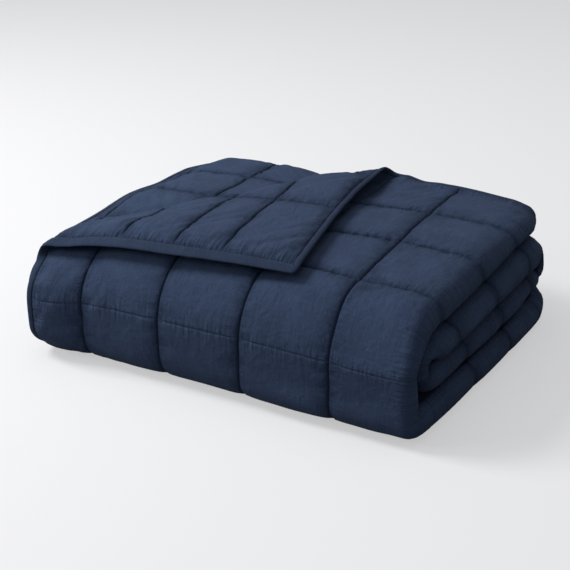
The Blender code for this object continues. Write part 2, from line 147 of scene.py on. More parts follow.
def settle(x, y, z):
    """Where a point of the square-built stack ends up once the stack has settled."""
    upper, left = ramp(z, 0.06, 0.16), ramp(x, -0.270, -0.345)
    # it rises in the middle and at the back-left, and sinks at two corners
    grow = MIDDLE_RISE * ramp(y, 0.03, 0.29) * (1.0 - (x / 0.33) ** 2)
    grow -= FRONT_LEFT_SINK * ramp(x, -0.14, -0.28) * ramp(y, 0.26, 0.04)
    grow += BACK_LEFT_RISE * ramp(x, -0.04, -0.20) * ramp(y, 0.15, 0.33)
    grow -= BACK_RIGHT_SINK * ramp(x, 0.14, 0.27) * ramp(y, 0.28, 0.50)
    # it bows out at the front, and its top pass lies further back at the right
    bow = FRONT_LEFT_BOW * ramp(x, -0.190, -0.275) * ramp(y, 0.20, 0.0)
    bow *= 0.3 + 0.7 * ramp(z, 0.0, 0.05) * ramp(z, 0.17, 0.11)
    bow += FRONT_FOOT_BOW * ramp(x, -0.05, 0.15) * ramp(y, 0.14, 0.02) * ramp(z, 0.06, 0.02)
    bow -= TOP_SET_BACK * ramp(x, 0.06, 0.18) * ramp(y, 0.05, 0.25) * ramp(y, 0.50, 0.38) * upper
    # the fold spreads along the floor, its back corner is rounded and waisted, and the
    # back-left corner of the top is drawn in
    spread = (FOLD_SPREAD + BACK_SPREAD * ramp(y, -0.07, 0.40)) * ramp(x, 0.05, 0.25)
    spread *= 1.0 - 0.8 * z / STACK_HEIGHT
    spread -= BACK_ROUND * ramp(x, 0.15, 0.26) * ramp(y, 0.43, 0.52) * ramp(z, 0.11, 0.14)
    waist = np.exp(-((z - 0.047) / 0.012) ** 2)
    spread -= BACK_WAIST * waist * ramp(x, 0.18, 0.26) * ramp(y, 0.36, 0.44)
    spread += LEFT_DRAWN * left * ramp(y, 0.47, 0.54) * upper
    # the top dips beside the ridge, rises with it, and droops at the right and the left
    drop = RIDGE_DIP * np.exp(-((x + 0.045) / 0.07) ** 2) * ramp(y, 0.36, 0.50)
    drop *= z / STACK_HEIGHT
    drop -= RIDGE_RISE * np.exp(-((x - 0.062) / 0.025) ** 2) * ramp(y, 0.40, 0.50) * upper
    drop += RIGHT_DROOP * ramp(x, 0.24, 0.31) * ramp(z, 0.14, 0.18)
    sag = np.exp(-((z - 0.135) / 0.034) ** 2)
    drop += RIGHT_SAG * sag * ramp(x, 0.08, 0.25) * ramp(y, 0.46, 0.12)
    drop += LEFT_DROOP * left * ramp(y, 0.08, 0.22) * upper
    return np.stack((x + spread, y - bow, z * (1.0 + grow) - drop), axis=-1)


def in_stack(x, along, rise, shift=0.0):
    """Point at x, a distance along the cloth and a height over the middle of the pair."""
    y, z, ny, nz, thick = on_path(along)
    drop = thick / 2.0 - rise
    return settle(x, y + shift - ny * drop, z - nz * drop)


# the corner that is turned back, as addresses on the flat cloth
RIDGE_ACROSS, RIDGE_ALONG = 0.346, 0.466
RIDGE_LENGTH = hypot(RIDGE_ACROSS, RIDGE_ALONG)
RIDGE = np.array((RIDGE_ACROSS, -RIDGE_ALONG)) / RIDGE_LENGTH
OVER = np.array((-RIDGE[1], RIDGE[0]))
CORNER_X, CORNER_ALONG = 0.094, 0.424                   # where the cloth's corner comes to lie
CORNER = np.array((CORNER_X - OUTER_EDGE_X, CORNER_ALONG - RIDGE_ALONG))
ROLL_RADIUS = 0.0125
MIDDLE_PRESSED, FRONT_PRESSED = 0.0050, 0.0015          # the ridge is rolled tighter there
CORNER_GAP, CORNER_LIFT, CORNER_DRAWN = 0.002, 0.028, 0.048


def turned(across, along):
    """How far a point lies past the ridge: 0 on it, 1 at the corner of the cloth."""
    return 1.0 - across / RIDGE_ACROSS - along / RIDGE_ALONG


def place_turned(across, along, up):
    """Points of the turned corner: rolled round the ridge, then lying on the top."""
    past = turned(across, along)
    slant = (across / RIDGE_ACROSS)[:, None] * RIDGE * RIDGE_LENGTH + past[:, None] * CORNER
    from_front = slant @ RIDGE / RIDGE_LENGTH
    pressed = ramp(from_front, 0.80, 0.52) * ramp(from_front, 0.03, 0.28)
    radius = ROLL_RADIUS - MIDDLE_PRESSED * pressed - FRONT_PRESSED * ramp(from_front, 0.35, 0.0)
    reach = slant @ OVER + past * pi * radius
    angle = np.minimum(pi, reach / radius)
    run = reach - pi * radius
    # it comes down from the roll to lie on the top, sooner at the front
    level_at = 0.16 - 0.10 * ramp(from_front, 0.42, 0.15)
    lying = TOP_PASS[1] / 2.0 + CORNER_GAP
    rise = np.where(run < 0.0, radius - (radius - up) * np.cos(angle),
                    2.0 * radius + (lying - 2.0 * radius) * ramp(run / level_at, 0.0, 1.0) - up)
    sideways = np.where(run < 0.0, -(radius - up) * np.sin(angle), run)
    rise += CORNER_LIFT * along / RIDGE_ALONG * past * ramp(run, 0.0, 0.05)
    spot = (slant @ RIDGE)[:, None] * RIDGE + sideways[:, None] * OVER
    x = OUTER_EDGE_X + spot[:, 0] - CORNER_DRAWN * across / RIDGE_ACROSS * past
    along = RIDGE_ALONG + spot[:, 1]
    return in_stack(x, along, on_path(along)[4] / 4.0 + rise)


# how far the halves have shifted on each other, and where their edges hang or stand up
INNER_SLIDE, INNER_GATHERED, INNER_TUCK, OUTER_LEAN = 0.083, 0.036, 0.036, 0.020
INNER_HANG, OUTER_LIFT, UNCOVERED_LIFT = 0.011, 0.005, 0.011


def place(across, along, up):
    """World points of addresses on the flat cloth; up is positive on the face side."""
    layer = on_path(along)[4] / 4.0
    angle = np.clip(pi * (across - OUTER_WIDTH) / ARC_LENGTH, 0.0, pi)
    back = np.maximum(across - INNER_START, 0.0)
    # the inner half lies skewed, with its free end gathered in, and the outer one leans left
    gathered = np.maximum(1.0 - along / FIRST_CROSS_SEAM, 0.0) * ramp(back, 0.0, 0.25)
    slide = INNER_SLIDE * ramp(back, 0.0, 0.25) * ramp(along, 0.50, 0.20)
    slide -= INNER_GATHERED * gathered
    tuck = INNER_TUCK * ramp(back, 0.05, 0.50) * ramp(along, 0.12, 0.45)
    lean = OUTER_LEAN * np.exp(-((across - 0.460) / 0.06) ** 2) * ramp(along, 0.50, 0.05)
    lean *= across <= OUTER_WIDTH
    x = FOLD_X + np.minimum(across - OUTER_WIDTH, 0.0) + (layer + up) * np.sin(angle)
    # their free ends part, and the inner half stands up where the corner uncovers it
    lift = OUTER_LIFT * ramp(along, 0.022, -0.002) * ramp(across, 0.36, 0.42)
    lift *= ramp(angle, pi, 0.0)
    lift -= INNER_HANG * ramp(back, 0.15, 0.30) * ramp(along, 0.032, -0.012)
    beyond = turned(OUTER_WIDTH - back, along)
    lift += UNCOVERED_LIFT * ramp(beyond, 0.02, 0.22) * ramp(along, 0.18, 0.30) * (back > 0.0)
    rise = (layer + up) * np.cos(angle) + lift
    points = in_stack(x - back + tuck - lean, along, rise, slide)
    folded = (across < RIDGE_ACROSS * 1.2) & (turned(across, along) > 0.0)
    points[folded] = place_turned(across[folded], along[folded], up[folded])
    points[:, 2] = np.maximum(points[:, 2], STACK_MIDDLE[2])
    return points - STACK_MIDDLE


def seams_from(first, stop):
    """Seams one square apart from the first, short of stop."""
    return list(np.arange(first, stop - 0.03, SQUARE))


FIRST_OUTER_SEAM, FIRST_INNER_SEAM = 0.079, 0.020       # each from its own cut edge
OUTER_SEAMS = seams_from(FIRST_OUTER_SEAM, OUTER_WIDTH)
INNER_SEAMS = [WIDTH - seam for seam in reversed(seams_from(FIRST_INNER_SEAM, 0.5))]
LENGTH_SEAMS = OUTER_SEAMS + [INNER_START] + INNER_SEAMS
CROSS_SEAMS = seams_from(FIRST_CROSS_SEAM, LENGTH)
TURNED_SEAMS = [0.151, 0.278]           # as they lie on the turned corner
TURNED_CROSS_SEAMS = [0.120, 0.205, 0.300]
UNCOVERED_CROSS_SEAMS = [0.142, 0.269, 0.362, 0.523]
EDGE_HALF = 0.0015                      # half the thickness of the cloth inside its binding
STRIP_LAP = 0.0018                      # how much of the cloth's edge the binding takes in
UNCOVERED_ALONG = 0.50                  # how far along the turned corner uncovers the inner half
STRIP_MARKS = [STRIP_LAP, 0.0028, 0.0042, 0.0068]       # addresses from the strip inwards
SEAM_MARKS = [0.0009, 0.0021, 0.0038, 0.0062, 0.0090]   # and from a seam to both sides


def to_nearest(value, lines):
    """Distance to the nearest of some lines."""
    return np.abs(value[:, None] - np.array(lines)).min(axis=1)


def on_corner(across, along):
    """1 on the turned corner, 0 elsewhere."""
    return ramp(turned(across, along), 0.0, 0.05) * (across < OUTER_WIDTH)


def to_length_seam(across, along):
    distance = to_nearest(across, LENGTH_SEAMS)
    return distance + on_corner(across, along) * (to_nearest(across, TURNED_SEAMS) - distance)


def to_cross_seam(across, along):
    distance = to_nearest(along, CROSS_SEAMS)
    uncovered = ramp(across, 0.84, 0.92) * (along < UNCOVERED_CROSS_SEAMS[-1])
    distance += uncovered * (to_nearest(along, UNCOVERED_CROSS_SEAMS) - distance)
    return distance + on_corner(across, along) * (to_nearest(along, TURNED_CROSS_SEAMS) - distance)


def to_edges(across, along):
    """Distance to the nearer long edge and to the nearer end of the cloth."""
    return np.minimum(across, WIDTH - across), np.minimum(along, LENGTH - along)


def over_fold(across, width):
    """1 over the rounded right-hand fold, falling to 0 on both sides of it."""
    return np.exp(-((across - OUTER_WIDTH - ARC_LENGTH / 2.0) / width) ** 2)


def swell(distance, reach):
    """Quarter circle from 0 at a seam to 1 at its reach."""
    return np.sqrt(1.0 - (1.0 - np.clip(distance / reach, 0.0, 1.0)) ** 2)


def noise(u, v, seed):
    """Smooth noise from -1 to 1 on a grid one unit wide."""
    table = np.random.RandomState(seed).uniform(-1.0, 1.0, (128, 128))
    i, j = np.floor(u).astype(int), np.floor(v).astype(int)
    s, t = blend(u - i), blend(v - j)
    i, j, k, m = i % 128, j % 128, (i + 1) % 128, (j + 1) % 128
    low = table[i, j] * (1.0 - s) + table[k, j] * s
    high = table[i, m] * (1.0 - s) + table[k, m] * s
    return low * (1.0 - t) + high * t


def evenly(marks, spacing):
    """Addresses about one spacing apart that include the marks."""
    parts = [np.linspace(low, high, round((high - low) / spacing), endpoint=False)
             for low, high in zip(marks, marks[1:])]
    return np.append(np.concatenate(parts), marks[-1])


def add_to_scene(name, data):
    added = bpy.data.objects.new(name, data)
    bpy.context.scene.collection.objects.link(added)
    return added


FILLING_PRESSURE = 15.0
LARGER_CUT = 0.045                      # the cloth is cut this much larger than its seams
PATCH_GRID = 0.0038
FILL_FRAMES = 10


def filled(name, across_seams, along_seams, seed):
    """Flat cloth held along its seams and pushed up by the filling: addresses and heights.

    The cloth is larger than the lines that hold it, so it puckers as it runs into them.
    """
    columns, rows = evenly(across_seams, PATCH_GRID), evenly(along_seams, PATCH_GRID)
    across, along = (grid.ravel() for grid in np.meshgrid(columns, rows, indexing="ij"))
    held = np.isin(across, across_seams) | np.isin(along, along_seams)
    start = np.where(held, 0.0, np.random.RandomState(seed).uniform(0.0006, 0.0014, len(held)))
    number = np.arange(len(held)).reshape(len(columns), len(rows))
    quads = np.stack((number[:-1, :-1], number[1:, :-1], number[1:, 1:], number[:-1, 1:]), -1)
    mesh = bpy.data.meshes.new(name)
    mesh.from_pydata(np.stack((across, along, start), 1).tolist(), [],
                     quads.reshape(-1, 4).tolist())
    patch = add_to_scene(name, mesh)
    patch.vertex_groups.new(name="held").add(np.flatnonzero(held).tolist(), 1.0, "REPLACE")
    fill = patch.modifiers.new("fill", "CLOTH")
    fill.settings.quality = 5
    fill.settings.mass = 0.1
    fill.settings.tension_stiffness = 20.0
    fill.settings.compression_stiffness = 10.0
    fill.settings.bending_stiffness = 0.2
    fill.settings.air_damping = 2.0
    fill.settings.vertex_group_mass = "held"
    fill.settings.shrink_min = fill.settings.shrink_max = -LARGER_CUT
    fill.settings.use_pressure = True
    fill.settings.uniform_pressure_force = FILLING_PRESSURE
    fill.settings.effector_weights.gravity = 0.0
    fill.collision_settings.use_collision = False
    for moment in range(1, FILL_FRAMES + 1):
        bpy.context.scene.frame_set(moment)
    view = bpy.context.evaluated_depsgraph_get()
    points = np.empty(3 * len(held))
    patch.evaluated_get(view).data.vertices.foreach_get("co", points)
    bpy.data.objects.remove(patch)
    bpy.context.scene.frame_set(1)
    return columns, rows, points[2::3].reshape(len(columns), len(rows))


def lookup(patch, across, along):
    """Height of a filled patch at some addresses, between its own."""
    columns, rows, heights = patch
    u = np.interp(across, columns, np.arange(len(columns)))
    v = np.interp(along, rows, np.arange(len(rows)))
    i, j = np.minimum(u.astype(int), len(columns) - 2), np.minimum(v.astype(int), len(rows) - 2)
    s, t = u - i, v - j
    low = heights[i, j] * (1.0 - s) + heights[i + 1, j] * s
    high = heights[i, j + 1] * (1.0 - s) + heights[i + 1, j + 1] * s
    return low * (1.0 - t) + high * t


FRONT_END = CROSS_SEAMS[5]              # the last seam of the top and the front
front_patch = filled("front patch", [0.0] + OUTER_SEAMS + [OUTER_SEAMS[-1] + 0.20],
                     [0.0] + CROSS_SEAMS[:3] + [FRONT_END], seed=11)
corner_patch = filled("corner patch", [0.0] + TURNED_SEAMS + [0.40],
                      [0.0] + TURNED_CROSS_SEAMS + [0.48], seed=12)
uncovered_patch = filled("uncovered patch", INNER_SEAMS + [WIDTH],
                         [0.0] + UNCOVERED_CROSS_SEAMS, seed=13)


HIDDEN_RISE, HIDDEN_REACH = 0.012, 0.06                 # of the squares that no patch covers
FULL_RISE = 0.0030                      # a square that stands well over this is full


def filling(across, along, side):
    """How full the cloth stands at some addresses: 0 at a seam, about 1 in a square."""
    seam = np.minimum(to_length_seam(across, along), to_cross_seam(across, along))
    hidden = HIDDEN_RISE * swell(seam, HIDDEN_REACH)
    if side > 0:
        # past the front, the squares beside the fold repeat the first two of the top
        again = CROSS_SEAMS[0] + (along - FRONT_END) % (2.0 * SQUARE)
        repeated = np.where(along > FRONT_END, again, along)
        shown = lookup(front_patch, across, repeated)
        rise = hidden + ramp(across, INNER_START + 0.05, INNER_START + 0.02) * (shown - hidden)
    else:
        corner = ramp(across, 0.38, 0.34) * ramp(along, 0.48, 0.46)
        rise = hidden + corner * (lookup(corner_patch, across, along) - hidden)
        lower = ramp(across, INNER_SEAMS[0], INNER_SEAMS[0] + 0.03)
        lower *= ramp(along, UNCOVERED_CROSS_SEAMS[-1], UNCOVERED_ALONG)
        rise = rise + lower * (lookup(uncovered_patch, across, along) - rise)
    return 1.0 - np.exp(-np.maximum(rise, 0.0) / FULL_RISE)


GATHER_DEPTH, GATHER_SPACING, GATHER_LENGTH = 0.0019, 0.0082, 0.024


def gathers(beside, distance, seed):
    """Depth of the finest folds that run into a seam."""
    held = 1.0 - np.exp(-distance / 0.0018)
    crest = 1.0 - np.abs(noise(beside / GATHER_SPACING, distance / GATHER_LENGTH, seed))
    return held * GATHER_DEPTH * np.exp(-distance / 0.010) * crest ** 1.5


FABRIC_SEED = 60
EMPTY_SHARE = 0.66                      # thickness of an empty layer, as a share of a full one
LENGTH_GROOVE, CROSS_GROOVE = 0.0034, 0.0042            # how far a seam's groove reaches
LENGTH_DRAWN, CROSS_DRAWN = 0.34, 0.38                  # share of the thickness it takes
INNERMOST_FULLER = 0.0045
DIMPLE_DEPTH, DIMPLE_SPACING = 0.0010, 0.027
DRAG_DEPTH, DRAG_WIDTH, DRAG_LENGTH = 0.0018, 0.022, 0.12
SEAM_SUNK = 0.0014


def height(across, along, side):
    """Height of the face cloth (side 1) or the back cloth (side -1) over the layer's middle.

    The seams are drawn towards the side that doesn't show.
    """
    seed = FABRIC_SEED + 50 * side
    length_seam = to_length_seam(across, along)
    cross_seam = to_cross_seam(across, along)
    edge_beside, edge_end = to_edges(across, along)
    edge = np.maximum(np.minimum(edge_beside, edge_end), 0.0)
    half = on_path(along)[4] / 4.0 - LAYER_GAP / 2.0
    on_fold = over_fold(across, 0.035)
    full = filling(across, along, side)
    full += 0.85 * on_fold * (1.0 - full)
    half *= EMPTY_SHARE + (1.0 - EMPTY_SHARE) * full
    # drawn tight on the front, where the cloth is stretched over the bend
    drawn = ramp(along, 0.42, 0.48) * ramp(along, 0.77, 0.72)
    length_groove = 1.0 - swell(length_seam, LENGTH_GROOVE)
    tight = np.maximum(drawn, on_fold)
    cross_groove = 1.0 - swell(cross_seam, CROSS_GROOVE - 0.0008 * tight)
    cross_groove *= 1.0 - 0.60 * tight
    half *= (1.0 - LENGTH_DRAWN * length_groove) * (1.0 - CROSS_DRAWN * cross_groove)
    # full inside the innermost bend, which closes on itself
    inside = ramp(across, OUTER_WIDTH + ARC_LENGTH / 2.0, INNER_START)
    inside *= ramp(across, INNER_START + 0.08, INNER_START + 0.03)
    inside *= ramp(along, 1.54, 1.60) * ramp(along, 1.75, 1.69)
    half += (side > 0) * INNERMOST_FULLER * inside
    # pressed flat and gathered along the ridge of the turned corner
    past_ridge = turned(across, along) * RIDGE_ACROSS * RIDGE_ALONG / RIDGE_LENGTH
    from_front = across / RIDGE_ACROSS + turned(across, along) * 0.5
    pressed = np.exp(-(past_ridge / 0.035) ** 2) * (across < OUTER_WIDTH)
    pressed *= ramp(from_front, 0.90, 0.60) * ramp(from_front, 0.0, 0.25)
    half *= 1.0 - 0.50 * pressed
    half -= 0.6 * gathers(from_front * RIDGE_LENGTH, np.abs(past_ridge), seed + 60) * pressed
    half -= gathers(along, length_seam, seed)
    half -= (1.0 - 0.5 * drawn) * gathers(across, cross_seam, seed + 10)
    half -= 1.5 * gathers(along, edge_beside, seed + 40)
    half -= 1.5 * gathers(across, edge_end, seed + 50)
    dimple = 0.5 + 0.5 * noise(across / DIMPLE_SPACING, along / DIMPLE_SPACING, seed + 20)
    half -= DIMPLE_DEPTH * dimple
    # long slanting folds, where the weight drags at the free edges and the turned corner
    slant = 0.8 * across + 0.6 * along, 0.8 * along - 0.6 * across
    drag = (1.0 - np.abs(noise(slant[0] / DRAG_WIDTH, slant[1] / DRAG_LENGTH, seed + 30))) ** 2
    half -= DRAG_DEPTH * drag * (ramp(edge, 0.20, 0.02) + 0.4 * on_corner(across, along))
    # thin inside the binding, steep just past its strip, and then rounder
    half = np.maximum(half, EDGE_HALF)
    past_strip = np.maximum(edge - STRIP_LAP, 0.0)
    rising = 0.45 * swell(past_strip, 0.005) + 0.55 * swell(past_strip, 0.026)
    half = EDGE_HALF + (half - EDGE_HALF) * rising
    # the face shows on the outer half (1), and the back on the inner half and the corner (-1)
    shown = ramp(across, INNER_START + 0.04, INNER_START) * 2.0 - 1.0
    past = ramp(turned(across, along), -0.02, 0.05) * (across < OUTER_WIDTH)
    shown *= 1.0 - 2.0 * past
    sunk = SEAM_SUNK * np.maximum(length_groove, cross_groove) * shown * swell(edge, 0.010)
    return (side * half - sunk) * (edge > 0.0)


def addresses(lines, zones, close=()):
    """Addresses that include the lines, nearer together beside the close ones.

    Zones are (end, spacing) pairs.
    """
    beside = [seam + way * mark for seam in close for mark in SEAM_MARKS for way in (-1.0, 1.0)]
    marks = [0.0] + list(lines) + beside + [end for end, spacing in zones]
    marks = sorted(set(mark for mark in marks if 0.0 <= mark <= zones[-1][0]))
    found = [0.0]
    for low, high in zip(marks, marks[1:]):
        spacing = next(step for end, step in zones if high <= end)
        parts = max(1, round((high - low) / spacing))
        found += list(np.linspace(low, high, parts + 1)[1:])
    return np.array(found)


ALONG_FADES, ACROSS_FADES = 0.010, 0.012                # the finest folds, away from a seam
EDGE_FOLDS = 1.4                                        # stronger beside the strip


def cloth(name, columns, rows, side):
    """One of the two cloths, as a mesh with its flat addresses, its creases and its crowns."""
    grid = np.meshgrid(columns, rows, indexing="ij")
    across, along = grid[0].ravel(), grid[1].ravel()
    points = place(across, along, height(across, along, side))
    number = np.arange(len(across)).reshape(grid[0].shape)
    quads = np.stack((number[:-1, :-1], number[:-1, 1:], number[1:, 1:], number[1:, :-1]), -1)
    quads = quads.reshape(-1, 4)[:, ::side]
    mesh = bpy.data.meshes.new(name)
    mesh.from_pydata(points.tolist(), [], quads.tolist())
    flat = mesh.uv_layers.new(name="Flat cloth")
    flat.data.foreach_set("uv", np.stack((across, along), 1)[quads.ravel()].ravel())
    edge_beside, edge_end = to_edges(across, along)
    length_seam = to_length_seam(across, along)
    folds_along = np.exp(-length_seam / ALONG_FADES)
    folds_along += EDGE_FOLDS * np.exp(-edge_beside / ACROSS_FADES)
    folds_across = np.exp(-to_cross_seam(across, along) / ACROSS_FADES)
    folds_across += EDGE_FOLDS * np.exp(-edge_end / ACROSS_FADES)
    # the cloth creases over the fold, most where a bend presses it thin
    tight = ramp(on_path(along)[4], 0.042, 0.030)
    folds_along += (0.8 + 1.8 * tight) * over_fold(across, 0.022)
    held = 1.0 - np.exp(-length_seam / 0.002)
    weights = {
        "Folds along": held * folds_along,
        "Folds across": held * folds_across,
        "Crown": filling(across, along, side),
    }
    for label, values in weights.items():
        mesh.attributes.new(label, "FLOAT", "POINT").data.foreach_set("value", values)
    mesh.shade_smooth()
    return add_to_scene(name, mesh)


def node(tree, kind, inputs=(), **settings):
    """Add a node, set it up and join its inputs: values, or sockets of other nodes."""
    added = tree.nodes.new(kind)
    for key, value in settings.items():
        setattr(added, key, value)
    for key, value in dict(inputs).items():
        if isinstance(value, bpy.types.NodeSocket):
            tree.links.new(value, added.inputs[key])
        else:
            added.inputs[key].default_value = value
    return added


def maths(tree, operation, *values):
    """Add a Math node and give its result."""
    return node(tree, "ShaderNodeMath", enumerate(values), operation=operation).outputs[0]


def slub_weave():
    """Shader group: plain weave with thick places in its yarns, from a position on the cloth."""
    tree = bpy.data.node_groups.new("slub weave", "ShaderNodeTree")
    tree.interface.new_socket("Position", in_out="INPUT", socket_type="NodeSocketVector")
    for label, value in (("Yarn", 0.0006), ("Slub width", 0.0009), ("Slub length", 0.016)):
        socket = tree.interface.new_socket(label, in_out="INPUT", socket_type="NodeSocketFloat")
        socket.default_value = value
    for label in ("Tone", "Height"):
        tree.interface.new_socket(label, in_out="OUTPUT", socket_type="NodeSocketFloat")
    given = node(tree, "NodeGroupInput").outputs
    spot = node(tree, "ShaderNodeSeparateXYZ", {0: given["Position"]}).outputs
    streaks = []
    for wide, long in ((0, 1), (1, 0)):
        u = maths(tree, "DIVIDE", spot[wide], given["Slub width"])
        v = maths(tree, "DIVIDE", spot[long], given["Slub length"])
        where = node(tree, "ShaderNodeCombineXYZ", {0: u, 1: v, 2: 7.0 * wide})
        streak = node(tree, "ShaderNodeTexNoise",
                      {"Vector": where.outputs[0], "Scale": 0.5, "Detail": 2.0, "Roughness": 0.6})
        streaks.append(streak.outputs[0])
    waves = []
    for axis in (0, 1):
        turns = maths(tree, "DIVIDE", spot[axis], given["Yarn"])
        waves.append(maths(tree, "SINE", maths(tree, "MULTIPLY", turns, 2.0 * pi)))
    weave = maths(tree, "MULTIPLY", waves[0], waves[1])
    patch = node(tree, "ShaderNodeTexNoise",
                 {"Vector": given["Position"], "Scale": 28.0, "Detail": 3.0}).outputs[0]
    grain = node(tree, "ShaderNodeTexNoise",
                 {"Vector": given["Position"], "Scale": 620.0, "Detail": 1.0}).outputs[0]
    warp_share, weft_share, patch_share, grain_share = 0.29, 0.13, 0.26, 0.32
    tone = maths(tree, "MULTIPLY", streaks[0], warp_share)
    tone = maths(tree, "MULTIPLY_ADD", streaks[1], weft_share, tone)
    tone = maths(tree, "MULTIPLY_ADD", patch, patch_share, tone)
    tone = maths(tree, "MULTIPLY_ADD", grain, grain_share, tone)
    relief = maths(tree, "MULTIPLY_ADD", weave, 0.05, maths(tree, "MULTIPLY", tone, 0.45))
    node(tree, "NodeGroupOutput", {"Tone": tone, "Height": relief})
    return tree


weave_group = slub_weave()


def seam_folds():
    """Shader group: height, in millimetres, of the finest folds that run into the seams."""
    tree = bpy.data.node_groups.new("seam folds", "ShaderNodeTree")
    tree.interface.new_socket("Position", in_out="INPUT", socket_type="NodeSocketVector")
    for label in ("Folds along", "Folds across", "Spacing"):
        tree.interface.new_socket(label, in_out="INPUT", socket_type="NodeSocketFloat")
    tree.interface.new_socket("Height", in_out="OUTPUT", socket_type="NodeSocketFloat")
    given = node(tree, "NodeGroupInput").outputs
    spot = node(tree, "ShaderNodeSeparateXYZ", {0: given["Position"]}).outputs
    heights = []
    for beside, away, weight in ((1, 0, "Folds along"), (0, 1, "Folds across")):
        u = maths(tree, "DIVIDE", spot[beside], given["Spacing"])
        v = maths(tree, "DIVIDE", spot[away], maths(tree, "MULTIPLY", given["Spacing"], 6.0))
        where = node(tree, "ShaderNodeCombineXYZ", {0: u, 1: v, 2: 3.0 * beside})
        fold = node(tree, "ShaderNodeTexNoise",
                    {"Vector": where.outputs[0], "Scale": 1.0, "Detail": 1.0}).outputs[0]
        heights.append(maths(tree, "MULTIPLY", maths(tree, "SUBTRACT", fold, 0.5), given[weight]))
    node(tree, "NodeGroupOutput", {"Height": maths(tree, "ADD", heights[0], heights[1])})
    return tree


folds_group = seam_folds()


def attribute(tree, name):
    return node(tree, "ShaderNodeAttribute", attribute_name=name).outputs["Fac"]


def new_material(name):
    material = bpy.data.materials.new(name)
    material.use_nodes = True
    return material


MILLIMETRE = 0.001
DARK_TONE, PALE_TONE = 0.36, 0.64


def finish_material(material, colours, tone, relief, roughness, sheen):
    """Shade between a dark and a pale colour by tone, with the relief, in mm, as bump."""
    tree = material.node_tree
    shader = tree.nodes["Principled BSDF"]
    dark, pale = colours
    share = node(tree, "ShaderNodeMapRange", {0: tone, 1: DARK_TONE, 2: PALE_TONE}).outputs[0]
    colour = node(tree, "ShaderNodeMix", {0: share, 6: dark, 7: pale}, data_type="RGBA")
    bump = node(tree, "ShaderNodeBump", {"Height": relief, "Distance": MILLIMETRE})
    tree.links.new(colour.outputs[2], shader.inputs["Base Color"])
    tree.links.new(bump.outputs[0], shader.inputs["Normal"])
    shader.inputs["Roughness"].default_value = roughness
    shader.inputs["Sheen Weight"].default_value = sheen
    shader.inputs["Sheen Roughness"].default_value = 0.45
    shader.inputs["Sheen Tint"].default_value = (0.62, 0.72, 0.95, 1.0)
    shader.inputs["Specular IOR Level"].default_value = 0.12


COTTON_COLOURS = ((0.0160, 0.0275, 0.057, 1.0), (0.034, 0.053, 0.102, 1.0))
FOLD_SPACING, FOLD_HEIGHT = 0.0058, 3.4
CRINKLE_SCALE, CRINKLE_HEIGHT = 95.0, 1.6


def quilt_cotton():
    """The navy slub cotton of both cloths."""
    material = new_material("navy slub cotton")
    tree = material.node_tree
    spot = node(tree, "ShaderNodeUVMap", uv_map="Flat cloth").outputs[0]
    weave = node(tree, "ShaderNodeGroup", node_tree=weave_group)
    tree.links.new(spot, weave.inputs["Position"])
    folds = node(tree, "ShaderNodeGroup", node_tree=folds_group)
    tree.links.new(spot, folds.inputs["Position"])
    folds.inputs["Spacing"].default_value = FOLD_SPACING
    for label in ("Folds along", "Folds across"):
        tree.links.new(attribute(tree, label), folds.inputs[label])
    # painted shade: dark in the seams, where shade falls, and paler on the crowns of the squares
    seam_shade = maths(tree, "MULTIPLY_ADD", attribute(tree, "Crown"), 0.36, -0.28)
    tone = maths(tree, "ADD", weave.outputs["Tone"], seam_shade)
    crinkle = node(tree, "ShaderNodeTexNoise",
                   {"Vector": spot, "Scale": CRINKLE_SCALE, "Detail": 2.0,
                    "Distortion": 0.4}).outputs[0]
    relief = maths(tree, "MULTIPLY_ADD", crinkle, CRINKLE_HEIGHT, weave.outputs["Height"])
    relief = maths(tree, "MULTIPLY_ADD", folds.outputs[0], FOLD_HEIGHT, relief)
    finish_material(material, COTTON_COLOURS, tone, relief, roughness=0.92, sheen=0.02)
    return material


cotton = quilt_cotton()

# fine where the cloth shows, and coarse where the folds hide it
HIDDEN_EDGE_MARK = 0.004                # one address is enough at an edge that doesn't show
face_columns = addresses(
    LENGTH_SEAMS + STRIP_MARKS + [WIDTH - HIDDEN_EDGE_MARK, OUTER_WIDTH],
    ((OUTER_WIDTH - 0.03, 0.0042), (INNER_START, 0.0030), (WIDTH, 0.030)), close=OUTER_SEAMS)
face_rows = addresses(
    CROSS_SEAMS + STRIP_MARKS + [LENGTH - HIDDEN_EDGE_MARK],
    ((0.74, 0.0042), (1.04, 0.012), (1.28, 0.008), (LENGTH, 0.012)), close=CROSS_SEAMS)
face_cloth = cloth("face_cloth", face_columns, face_rows, 1)
face_cloth.data.materials.append(cotton)
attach(face_cloth, "root")
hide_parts("blanket")


# ---- back cloth -----------------------------------------------------------------------------
# The inside of the doubled blanket, of the same cotton and sewn through to the face along every
# seam. It shows on the turned-back corner and on the lower half that the corner uncovers.
back_columns = addresses(
    LENGTH_SEAMS + TURNED_SEAMS + STRIP_MARKS + [WIDTH - mark for mark in STRIP_MARKS]
    + [OUTER_WIDTH],
    ((0.36, 0.0032), (0.80, 0.022), (WIDTH, 0.0038)), close=TURNED_SEAMS + INNER_SEAMS[1:])
back_rows = addresses(
    CROSS_SEAMS + TURNED_CROSS_SEAMS + UNCOVERED_CROSS_SEAMS + STRIP_MARKS
    + [LENGTH - HIDDEN_EDGE_MARK],
    ((0.48, 0.0032), (0.76, 0.016), (1.04, 0.040), (1.28, 0.016), (1.56, 0.040), (1.76, 0.012),
     (LENGTH, 0.040)), close=TURNED_CROSS_SEAMS + UNCOVERED_CROSS_SEAMS)
back_cloth = cloth("back_cloth", back_columns, back_rows, -1)
back_cloth.data.materials.append(cotton)
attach(back_cloth, "root")
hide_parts("blanket")


